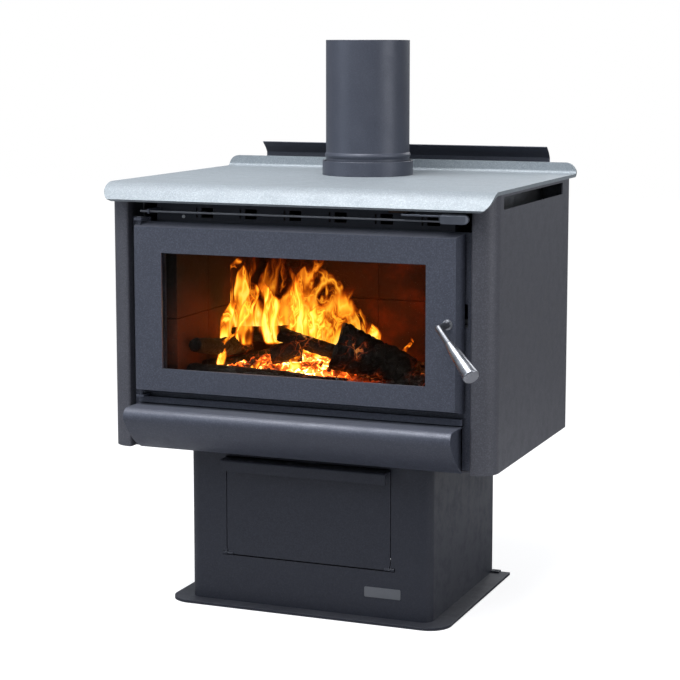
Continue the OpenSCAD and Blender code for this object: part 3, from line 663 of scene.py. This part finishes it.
COATS = {
    # The front and side coats are one charcoal paint in two copies: the darker front copy is painted shade,
    # the lighter side copy is painted light
    "front": FleckCoat("charcoal_coat_front_painted_shade", (0.075, 0.083, 0.113)),
    "side": FleckCoat("charcoal_coat_side_painted_light", (0.094, 0.096, 0.116)),
    # The pedestal's graphite coat is darkened further as painted shade for the shadow under the casing
    "low": FleckCoat("graphite_coat", (0.030, 0.033, 0.047), fleck=0.4),
    "flue": FleckCoat("graphite_coat_flue", (0.064, 0.071, 0.096), fleck=0.3, roughness=0.42),
    # The top plate's silver-grey coat is partly painted light: it is made lighter for the light falling from
    # above
    "top": FleckCoat("silver_grey_coat_with_painted_light", (0.25, 0.285, 0.315), fleck=0.45, roughness=0.52, metallic=0.2),
    "shield": FleckCoat("graphite_coat_shield", (0.058, 0.065, 0.088), fleck=0.3, roughness=0.55),
    # A darker copy of the charcoal paint for the air box: painted shade for the shadow that it sits in
    "dark": FleckCoat("charcoal_coat_air_box_painted_shade", (0.044, 0.048, 0.064), fleck=0.3, roughness=0.6),
    "inside": FleckCoat("sooted_plate", (0.040, 0.038, 0.038), fleck=0.3, roughness=0.8, metallic=0.1,
                        soot=0.8),
}
METALS = {
    "steel": WornMetal("plain_steel", (0.42, 0.43, 0.45), 0.38),
    "rail": WornMetal("satin_rail", (0.16, 0.17, 0.19), 0.40, Grain.ALONG_X),
    "knob": WornMetal("satin_knob", (0.16, 0.175, 0.21), 0.42, Grain.ALONG_X, 0.15),
    "grip": WornMetal("satin_polished_grip", (0.33, 0.34, 0.37), 0.27, Grain.EVEN, 0.25),
    "rod": WornMetal("satin_rod", (0.16, 0.165, 0.18), 0.36, Grain.EVEN, 0.25),
    "burnt": WornMetal("heat_tinted_steel", (0.12, 0.085, 0.07), 0.6, Grain.EVEN, 0.8),
    "badge": WornMetal("blank_badge_metal", (0.20, 0.21, 0.23), 0.35, Grain.ALONG_X, 0.1),
}


class Dresser:
    """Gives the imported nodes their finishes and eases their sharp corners."""

    def __init__(self) -> None:
        """Starts with no material made."""
        self.made: dict[str, bpy.types.Material] = {}

    def finish(self, finish: object) -> bpy.types.Material:
        """The material of a finish, made once.

        Args:
            finish: a finish with a name and a make method.

        Returns:
            The material.
        """
        if finish.name not in self.made:
            self.made[finish.name] = finish.make()
        return self.made[finish.name]

    def coat(self, names: Iterable[str], finish: object, ease: float = 0.0004) -> None:
        """Puts a finish on some nodes, with smooth bends and eased edges.

        Args:
            names: the nodes.
            finish: their finish.
            ease: the width of the eased edges in metres, or 0 for none.
        """
        for name in names:
            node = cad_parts[name]
            for slot in node.material_slots:
                slot.material = self.finish(finish)
            smooth(node, ease)
            log.info("dressed %s in %s", name, finish.name)


def smooth(piece: bpy.types.Object, ease: float, angle: float = 28.0) -> None:
    """Shades a piece smoothly over its bends, with a narrow bevel on its sharp edges.

    Args:
        piece: the object.
        ease: the bevel's width in metres, or 0 for none.
        angle: the least angle in degrees of an edge that counts as sharp.
    """
    mesh = piece.data
    mesh.polygons.foreach_set("use_smooth", [True] * len(mesh.polygons))
    marks = mesh.attributes.get("custom_normal")
    if marks is not None:
        mesh.attributes.remove(marks)
    weld = piece.modifiers.new("join_faces", "WELD")
    weld.merge_threshold = 0.00001
    if ease > 0.0:
        bevel = piece.modifiers.new("eased_edges", "BEVEL")
        bevel.width = ease
        bevel.segments = 2
        bevel.limit_method = "ANGLE"
        bevel.angle_limit = math.radians(angle)
        bevel.harden_normals = True
    even = piece.modifiers.new("even_shading", "WEIGHTED_NORMAL")
    even.keep_sharp = True


def shown(name: str, mesh: bpy.types.Mesh, finish: bpy.types.Material, body: Body,
          soft: bool = True) -> bpy.types.Object:
    """Puts a new mesh in the scene, riding on a body.

    Args:
        name: the piece's name.
        mesh: its mesh.
        finish: its material.
        body: the body that it rides on.
        soft: whether it is shaded smoothly.

    Returns:
        The piece.
    """
    piece = bpy.data.objects.new(name, mesh)
    bpy.context.scene.collection.objects.link(piece)
    mesh.materials.append(finish)
    mesh.polygons.foreach_set("use_smooth", [soft] * len(mesh.polygons))
    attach(piece, body.value)
    log.info("built %s with %d faces", name, len(mesh.polygons))
    return piece


def grid_mesh(name: str, rows: Sequence[Sequence[Point]], closed: bool = False,
              caps: bool = False) -> bpy.types.Mesh:
    """A mesh of quads over rows of points, with across and along coordinates.

    Args:
        name: the mesh's name.
        rows: rows of equal length.
        closed: whether each row is a ring.
        caps: whether the first and last ring are closed by a face.

    Returns:
        The mesh.
    """
    wide = len(rows[0])
    points = [p for row in rows for p in row]
    steps = wide if closed else wide - 1
    faces = [(r * wide + c, r * wide + (c + 1) % wide, (r + 1) * wide + (c + 1) % wide, (r + 1) * wide + c)
             for r in range(len(rows) - 1) for c in range(steps)]
    if caps:
        faces.append(tuple(range(wide - 1, -1, -1)))
        faces.append(tuple((len(rows) - 1) * wide + c for c in range(wide)))
    mesh = bpy.data.meshes.new(name)
    mesh.from_pydata(points, [], faces)
    layer = mesh.uv_layers.new(name="spread")
    for loop in mesh.loops:
        row, column = divmod(loop.vertex_index, wide)
        layer.data[loop.index].uv = (column / max(1, wide - 1), row / max(1, len(rows) - 1))
    mesh.update()
    return mesh


# Bevel widths in metres, which catch the light on the pieces' edges
NO_EASE = 0.0
SCREW_EASE = 0.0002
THIN_EASE = 0.0003
GLASS_EASE = 0.0004
SHEET_EASE = 0.0005
PIPE_EASE = 0.0006
BOARD_EASE = 0.0010
PLATE_EASE = 0.0012
BRICK_EASE = 0.0016


@dataclass
class Casing:
    """The painted box around the firebox: sides, back, top plate, shields and screws."""

    dresser: Dresser
    ease: float = SHEET_EASE
    front: tuple[str, ...] = ("firebox_front", "door_sill", "hinge_brackets", "hinge_pins", "apron_brackets",
                              "rail_brackets")
    side: tuple[str, ...] = ("side_panel_left", "side_panel_right", "rear_panel", "casing_floor", "top_rails")
    metal: tuple[str, ...] = ("shield_standoffs", "casing_screws", "inner_shields", "latch_keeper")

    def build(self) -> None:
        """Dresses every node of the casing."""
        # Front and side parts take two copies of one charcoal paint: painted shade on the front parts,
        # painted light on the side panels
        self.dresser.coat(self.front, COATS["front"], self.ease)
        self.dresser.coat(self.side, COATS["side"], self.ease)
        # The air box's darker coat is painted shade
        self.dresser.coat(("air_box",), COATS["dark"], self.ease)
        # The top plate's lighter coat is partly painted light from above
        self.dresser.coat(("top_plate",), COATS["top"], PLATE_EASE)
        self.dresser.coat(("rear_heat_shield",), COATS["shield"], THIN_EASE)
        self.dresser.coat(self.metal, METALS["steel"], SCREW_EASE)
        self.dresser.coat(("ash_apron", "apron_ends"), COATS["front"], self.ease)


@dataclass
class Pedestal:
    """The box under the casing, with its floor plate, drop-down door and blank badge."""

    dresser: Dresser
    coated: tuple[str, ...] = ("pedestal_wrap", "pedestal_back", "pedestal_rails", "pedestal_foot_tabs",
                               "hatch_panel")
    metal: tuple[str, ...] = ("pedestal_bolts", "hatch_pins")

    def build(self) -> None:
        """Dresses every node of the pedestal."""
        # The pedestal parts are darker partly as painted shade under the casing
        self.dresser.coat(self.coated, COATS["low"], SHEET_EASE)
        self.dresser.coat(("base_plate",), COATS["low"], PLATE_EASE)
        self.dresser.coat(self.metal, METALS["steel"], THIN_EASE)
        self.dresser.coat(("hatch_magnet", "pedestal_pivots"), COATS["low"], THIN_EASE)
        self.dresser.coat(("badge_plate",), METALS["badge"], SCREW_EASE)


@dataclass
class FiringDoor:
    """The glazed door with its seal, glass clips and spindle bush."""

    dresser: Dresser
    metal: tuple[str, ...] = ("glass_clips", "clip_screws", "spindle_bush")

    def build(self) -> None:
        """Dresses the door's nodes."""
        # The door frame takes the darker front copy of the charcoal paint, which is painted shade
        self.dresser.coat(("door_frame",), COATS["front"], PLATE_EASE)
        self.dresser.coat(self.metal, METALS["steel"], SCREW_EASE)
        self.dresser.coat(("rope_seal", "glass_gasket"), WovenRope("braided_glass_rope"), NO_EASE)
        self.dresser.coat(("door_glass",), FireGlass("fire_glass"), GLASS_EASE)


@dataclass
class DoorHandle:
    """The turning handle: rod, tapered grip, washer, cam and nut."""

    dresser: Dresser

    def build(self) -> None:
        """Dresses the handle's nodes."""
        self.dresser.coat(("handle_rod",), METALS["rod"], NO_EASE)
        self.dresser.coat(("handle_grip", "handle_washer"), METALS["grip"], NO_EASE)
        self.dresser.coat(("latch_cam", "cam_nut"), METALS["steel"], THIN_EASE)


@dataclass
class AirControl:
    """The sliding air control with its rail, rod, knob and shutter."""

    dresser: Dresser

    def build(self) -> None:
        """Dresses the air control's nodes."""
        self.dresser.coat(("air_rail",), METALS["rail"], NO_EASE)
        self.dresser.coat(("air_rod", "air_knob"), METALS["knob"], PIPE_EASE)
        self.dresser.coat(("air_slide", "air_slide_guides"), METALS["burnt"], NO_EASE)


@dataclass
class Flue:
    """The flue pipe with its collar, seal and spigot."""

    dresser: Dresser

    def build(self) -> None:
        """Dresses the flue's nodes."""
        self.dresser.coat(("flue_pipe", "flue_collar"), COATS["flue"], PIPE_EASE)
        self.dresser.coat(("flue_seal",), WovenRope("collar_rope"), NO_EASE)
        self.dresser.coat(("flue_spigot",), COATS["inside"], NO_EASE)


@dataclass
class Firebox:
    """The steel firebox, its brick lining, baffle and air tubes."""

    dresser: Dresser

    def build(self) -> None:
        """Dresses the firebox's nodes."""
        self.dresser.coat(("firebox_shell", "firebox_stand"), COATS["inside"], PIPE_EASE)
        wall = FiredClay("wall_firebrick", (0.14, 0.034, 0.014), 0.88)
        hearth = FiredClay("floor_firebrick", (0.16, 0.08, 0.05), 0.9)
        self.dresser.coat(("rear_bricks", "side_bricks"), wall, BRICK_EASE)
        self.dresser.coat(("floor_bricks",), hearth, BRICK_EASE)
        self.dresser.coat(("baffle_board",), FibreBoard("baffle_fibre"), BOARD_EASE)
        self.dresser.coat(("baffle_rails", "secondary_air_tubes"), METALS["burnt"], NO_EASE)


@dataclass
class Stick:
    """One burning log, from a to b."""

    name: str
    a: Point
    b: Point
    thick_a: float
    thick_b: float
    seed: float
    flat: float = 1.0
    sides: int = 44
    rings: int = 60

    def mesh(self) -> bpy.types.Mesh:
        """Builds the log with cracked char, knots and broken ends.

        Returns:
            The mesh.
        """
        a, b = Vector(self.a), Vector(self.b)
        axis = (b - a).normalized()
        across = axis.cross(Vector((0.0, 0.0, 1.0))).normalized()
        up = across.cross(axis)
        spot = Vector((self.seed, self.seed * 0.7, -self.seed))
        rows: list[list[Point]] = []
        for cap, share in ((0, 0.02), (0, 0.55), (0, 0.86)):
            rows.append(self.ring(a, across, up, axis, 0.0, share, spot))
        for r in range(self.rings + 1):
            rows.append(self.ring(a, across, up, axis, r / self.rings, 1.0, spot))
        for share in (0.86, 0.55, 0.02):
            rows.append(self.ring(a, across, up, axis, 1.0, share, spot))
        return grid_mesh(self.name, rows, closed=True, caps=True)

    def ring(self, a: Vector, across: Vector, up: Vector, axis: Vector, along: float,
             share: float, spot: Vector) -> list[Point]:
        """One ring of the log.

        Args:
            a: where the log starts.
            across: the first direction across it.
            up: the second direction across it.
            axis: the direction along it.
            along: how far along it the ring is, from 0 to 1.
            share: how far out from its middle the ring is, from 0 to 1.
            spot: an offset that sets this log's own pattern.

        Returns:
            The ring's points.
        """
        length = (Vector(self.b) - Vector(self.a)).length
        radius = self.thick_a + (self.thick_b - self.thick_a) * along
        bow = 0.12 * radius * math.sin(math.pi * along) * math.sin(self.seed * 5.0)
        points: list[Point] = []
        for s in range(self.sides):
            turn = 2.0 * math.pi * s / self.sides
            way = across * math.cos(turn) + up * math.sin(turn) * self.flat
            flat_spot = a + axis * (length * along) + way * radius
            big = noise.noise((flat_spot + spot) * 16.0)
            fine = noise.noise((flat_spot + spot) * 90.0)
            gaps = noise.voronoi(Vector((turn * 3.2, along * length * 55.0, self.seed)))[0]
            seam = max(0.0, 1.0 - (gaps[1] - gaps[0]) * 5.0)
            out = radius * (1.0 + 0.22 * big + 0.07 * fine - 0.11 * seam) * share
            end = 0.006 * noise.noise((flat_spot + spot) * 45.0) + 0.004 * (1.0 - share)
            shift = axis * (length * along + (end if along in (0.0, 1.0) else 0.0)) + up * bow
            points.append(tuple(a + shift + way * out))
        return points


@dataclass(frozen=True)
class Tongue:
    """One flame, placed in metres from the foot of the fire."""

    x: float
    y: float
    rise: float
    height: float
    width: float
    lean: float


# The flames' foot above the fire's floor in metres, and their turn about Z in radians
FLAME_FOOT = 0.05
FLAME_TURN = 0.36
# Each layer's brightness, the heat between its threads, and its flames, from back to front
FLAMES = {
    "flames_back": (1.7, 0.02, (
        Tongue(-0.250, 0.050, 0.0, 0.160, 0.060, 0.01), Tongue(-0.212, 0.058, 0.0, 0.184, 0.115, -0.01),
        Tongue(-0.140, 0.062, 0.0, 0.186, 0.130, 0.01), Tongue(-0.070, 0.060, 0.0, 0.180, 0.120, 0.01),
        Tongue(-0.010, 0.055, 0.0, 0.128, 0.100, 0.01))),
    "flames_middle": (2.2, 0.06, (
        Tongue(-0.240, 0.000, 0.01, 0.168, 0.060, 0.03), Tongue(-0.190, 0.026, 0.01, 0.182, 0.085, -0.010),
        Tongue(-0.130, 0.022, 0.0, 0.172, 0.080, 0.01), Tongue(-0.084, 0.018, 0.0, 0.184, 0.090, 0.01),
        Tongue(-0.030, 0.024, 0.0, 0.140, 0.080, 0.02))),
    "flames_front": (2.8, 0.14, (
        Tongue(-0.214, -0.045, 0.0, 0.120, 0.036, 0.020), Tongue(-0.176, -0.040, 0.005, 0.140, 0.044, 0.02),
        Tongue(-0.126, -0.028, 0.01, 0.135, 0.048, -0.01),
        Tongue(-0.064, -0.030, -0.005, 0.160, 0.062, -0.02),
        Tongue(-0.030, -0.036, -0.01, 0.130, 0.056, 0.010))),
    "flames_low": (2.8, 0.16, (
        Tongue(-0.196, -0.100, -0.02, 0.066, 0.022, 0.025),
        Tongue(-0.125, -0.108, -0.03, 0.042, 0.030, -0.01),
        Tongue(-0.050, -0.110, -0.03, 0.046, 0.036, 0.015), Tongue(-0.010, -0.150, -0.04, 0.052, 0.022, 0.02),
        Tongue(0.128, -0.050, -0.01, 0.055, 0.020, 0.016), Tongue(0.050, 0.020, 0.0, 0.085, 0.050, -0.01))),
}


@dataclass
class Fire:
    """Logs, embers and flames on the firebrick floor."""

    floor: float = field(default_factory=lambda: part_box("floor_bricks")[1][2])
    roof: float = field(default_factory=lambda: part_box("secondary_air_tubes")[0][2] - 0.003)
    left: float = field(default_factory=lambda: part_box("door_glass")[0][0] + 0.022)
    right: float = field(default_factory=lambda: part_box("door_glass")[1][0] - 0.022)
    front: float = field(default_factory=lambda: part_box("floor_bricks")[0][1] + 0.012)
    back: float = field(default_factory=lambda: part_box("rear_bricks")[0][1] - 0.008)

    def sticks(self) -> list[Stick]:
        """The logs, set out from the brick floor.

        Returns:
            The logs.
        """
        z = self.floor
        return [
            Stick("log_right", (0.036, -0.122, z + 0.084), (0.158, -0.080, z + 0.036),
                  0.048, 0.026, 3.1, 0.95),
            Stick("log_right_low", (0.070, -0.030, z + 0.034), (0.214, -0.135, z + 0.024),
                  0.026, 0.020, 8.4, 0.9),
            Stick("log_back", (-0.215, 0.010, z + 0.070), (-0.080, 0.002, z + 0.082),
                  0.019, 0.017, 5.7, 0.85),
            Stick("log_middle", (-0.096, -0.058, z + 0.086), (0.006, -0.062, z + 0.062),
                  0.018, 0.016, 1.3, 0.8),
            Stick("log_front", (-0.225, -0.156, z + 0.026), (0.062, -0.150, z + 0.018),
                  0.019, 0.017, 6.6, 0.85),
            Stick("log_end_left", (-0.212, -0.168, z + 0.078), (-0.192, 0.000, z + 0.052),
                  0.014, 0.020, 2.2, 0.95),
            Stick("log_end_far_left", (-0.218, -0.110, z + 0.030), (-0.150, 0.040, z + 0.026),
                  0.012, 0.020, 9.5, 0.95),
            Stick("log_block", (-0.100, -0.086, z + 0.054), (-0.052, -0.076, z + 0.060),
                  0.021, 0.023, 4.2, 0.9),
        ]

    def build(self) -> None:
        """Builds the logs, the ember bed, the flames and the light that they give."""
        char = CharredWood("charred_wood", 0.8, 0.05, 60.0).make()
        live = CharredWood("charred_wood_live", 2.0, 0.30, 80.0).make()
        for stick in self.sticks():
            finish = live if stick.name in ("log_block", "log_right_low") else char
            shown(stick.name, stick.mesh(), finish, Body.STOVE)
        self.embers()
        self.flames()
        self.glow()

    def embers(self) -> None:
        """Builds the lumpy bed of embers and ash."""
        across, deep = 130, 84
        rows: list[list[Point]] = []
        for r in range(deep + 1):
            y = self.front + (self.back - self.front) * r / deep
            row: list[Point] = []
            for c in range(across + 1):
                x = self.left + 0.002 + (self.right - self.left - 0.004) * c / across
                spot = Vector((x, y, 0.3))
                gaps = noise.voronoi(spot * 55.0)[0]
                lump = min(1.0, (gaps[1] - gaps[0]) * 2.5)
                mound = math.exp(-((x + 0.06) / 0.17) ** 2 - ((y + 0.03) / 0.13) ** 2)
                rim = min(1.0, c / 6.0, (across - c) / 6.0, r / 6.0, (deep - r) / 6.0)
                lumps = 0.006 + 0.026 * mound + 0.010 * lump + 0.010 * noise.noise(spot * 24.0)
                height = 0.004 + rim * lumps
                row.append((x, y, self.floor + max(0.0012, height)))
            rows.append(row)
        finish = GlowingEmbers("ember_bed", (-0.085, -0.085, 0.0), 0.23).make()
        shown("ember_bed", grid_mesh("ember_bed", rows), finish, Body.STOVE)

    def tongue(self, foot: Point, height: float, width: float, lean: float, seed: float,
               face: float = 0.0) -> list[list[Point]]:
        """One flame: a curved leaf of gas that sways as it rises.

        Args:
            foot: where it starts.
            height: how high it reaches.
            width: how wide it is at its widest.
            lean: how far its tip leans along X.
            seed: what sets its own sway.
            face: its turn about Z in radians.

        Returns:
            Rows of points, from foot to tip.
        """
        rows: list[list[Point]] = []
        steps, wide = 34, 13
        for r in range(steps + 1):
            t = r / steps
            swell = math.sin(math.pi * min(1.0, 0.16 + t * 0.84)) ** 0.75
            half = 0.5 * width * (0.30 + 0.90 * swell) * (1.0 - 0.55 * t)
            sway = noise.noise(Vector((seed, t * 2.6, 0.0))) * 0.34 * width * (0.3 + 2.0 * t)
            mid_x = foot[0] + lean * t * t + sway
            mid_y = foot[1] + noise.noise(Vector((seed + 7.0, t * 2.0, 0.0))) * 0.022 * t
            row: list[Point] = []
            for c in range(wide):
                u = 2.0 * c / (wide - 1) - 1.0
                curl = 0.30 * half * (1.0 - u * u)
                x = mid_x + u * half * math.cos(face)
                y = mid_y + u * half * math.sin(face) - curl
                x = min(max(x, self.left + 0.004), self.right - 0.004)
                row.append((x, y, min(self.roof, foot[2] + height * t)))
            rows.append(row)
        return rows

    def flames(self) -> None:
        """Builds the flames in four layers, each its own piece."""
        base = self.floor + FLAME_FOOT
        for index, (name, (glow, body, tongues)) in enumerate(FLAMES.items()):
            finish = BurningGas(f"burning_gas_{index}", 3.7 * index + 1.3, glow, body).make()
            parts: list[bpy.types.Mesh] = []
            for number, flame in enumerate(tongues):
                foot = (flame.x, flame.y, base + flame.rise)
                seed = 11.3 * index + 2.9 * number
                rows = self.tongue(foot, flame.height, flame.width, flame.lean, seed, FLAME_TURN)
                parts.append(grid_mesh(name, rows))
            shown(name, joined(name, parts), finish, Body.STOVE)

    def glow(self) -> None:
        """Adds the warm light that the fire throws on its brick lining."""
        for index, (x, y, z, watts) in enumerate(((-0.11, 0.03, 0.10, 0.8), (0.03, 0.03, 0.09, 0.9),
                                                  (-0.05, -0.12, 0.08, 0.15))):
            data = bpy.data.lights.new(f"fire_glow_{index}", "POINT")
            data.energy = watts
            data.color = (1.0, 0.22, 0.04)
            data.shadow_soft_size = 0.05
            lamp = bpy.data.objects.new(data.name, data)
            lamp.location = (x, y, self.floor + z)
            lamp.visible_camera = lamp.visible_transmission = lamp.visible_glossy = False
            bpy.context.scene.collection.objects.link(lamp)


def joined(name: str, meshes: Sequence[bpy.types.Mesh]) -> bpy.types.Mesh:
    """One mesh out of several, which are removed.

    Args:
        name: the new mesh's name.
        meshes: the meshes.

    Returns:
        The joined mesh.
    """
    work = bmesh.new()
    for mesh in meshes:
        work.from_mesh(mesh)
    whole = bpy.data.meshes.new(name)
    work.to_mesh(whole)
    work.free()
    for mesh in meshes:
        bpy.data.meshes.remove(mesh)
    return whole


@dataclass
class Studio:
    """The pale floor, the soft lights and the camera."""

    lens: float = 100.7
    place: Point = (1.2425, -3.1245, 0.9723)
    azimuth: float = 21.80
    fall: float = 7.45
    shift: float = -0.0643

    def build(self) -> None:
        """Builds the floor, the world, the lights and the camera."""
        self.ground()
        self.world()
        self.softbox("overhead_light", (-0.3, -0.8, 2.8), (0.0, -0.1, 0.5), (2.2, 1.5), 96.0)
        self.softbox("left_light", (-3.0, -2.3, 1.9), (0.0, 0.0, 0.45), (1.6, 2.4), 24.0, (0.84, 0.92, 1.0))
        self.softbox("right_light", (3.4, -0.6, 1.5), (0.0, 0.0, 0.45), (1.8, 2.2), 33.0)
        self.softbox("front_light", (-0.6, -2.7, 3.1), (0.0, -0.2, 0.6), (2.0, 0.8), 24.0)
        self.softbox("rear_light", (0.6, 3.3, 2.1), (0.0, 0.2, 0.5), (2.2, 1.8), 34.0)
        self.camera()

    def ground(self) -> None:
        """Builds the wide flat floor."""
        rows: list[list[Point]] = []
        for r in range(13):
            rows.append([(-9.0 + 18.0 * c / 12, -7.0 + 16.0 * r / 12, 0.0) for c in range(13)])
        mesh = grid_mesh("studio_floor", rows)
        floor = bpy.data.objects.new("studio_floor", mesh)
        mesh.materials.append(PaleGround().make())
        bpy.context.scene.collection.objects.link(floor)

    def world(self) -> None:
        """Lights everything softly, and shows the camera plain white behind the stove."""
        world = bpy.data.worlds.new("studio_world")
        bpy.context.scene.world = world
        world.use_nodes = True
        tree = world.node_tree
        tree.nodes.clear()
        seen = tree.nodes.new("ShaderNodeLightPath").outputs["Is Camera Ray"]
        mix = tree.nodes.new("ShaderNodeMixShader")
        soft, plain = ((0.86, 0.92, 1.0, 1.0), 0.34), ((1.0, 1.0, 1.0, 1.0), 1.0)
        for index, (colour, strength) in enumerate((soft, plain)):
            sky = tree.nodes.new("ShaderNodeBackground")
            sky.inputs["Color"].default_value = colour
            sky.inputs["Strength"].default_value = strength
            tree.links.new(sky.outputs[0], mix.inputs[index + 1])
        tree.links.new(seen, mix.inputs[0])
        tree.links.new(mix.outputs[0], tree.nodes.new("ShaderNodeOutputWorld").inputs["Surface"])

    def softbox(self, name: str, place: Point, target: Point, size: tuple[float, float], watts: float,
                tint: Colour = (1.0, 1.0, 1.0)) -> None:
        """Adds a soft rectangular light.

        Args:
            name: the light's name.
            place: where it stands.
            target: what it faces.
            size: its width and height.
            watts: its power.
            tint: its colour.
        """
        data = bpy.data.lights.new(name, "AREA")
        data.shape = "RECTANGLE"
        data.size, data.size_y = size
        data.energy = watts
        data.color = tint
        lamp = bpy.data.objects.new(name, data)
        lamp.location = place
        lamp.rotation_euler = (Vector(target) - Vector(place)).to_track_quat("-Z", "Y").to_euler()
        bpy.context.scene.collection.objects.link(lamp)

    def camera(self) -> None:
        """Sets the camera at the front right, a little above the top plate."""
        data = bpy.data.cameras.new("front_right_camera")
        data.lens = self.lens
        data.sensor_width = 36.0
        data.shift_y = self.shift
        data.clip_end = 60.0
        camera = bpy.data.objects.new(data.name, data)
        camera.location = self.place
        camera.rotation_euler = (math.radians(90.0 - self.fall), 0.0, math.radians(self.azimuth))
        bpy.context.scene.collection.objects.link(camera)
        bpy.context.scene.camera = camera


def main() -> None:
    """Builds every sub-assembly in order."""
    logging.basicConfig(level=logging.INFO, format="%(name)s: %(message)s")
    bpy.context.scene.view_settings.view_transform = "Standard"
    dresser = Dresser()
    Studio().build()
    for assembly in (Casing, Pedestal, FiringDoor, DoorHandle, AirControl, Flue, Firebox):
        assembly(dresser).build()
        log.info("finished the %s", assembly.__name__)
    Fire().build()


if __name__ == "__main__":
    main()
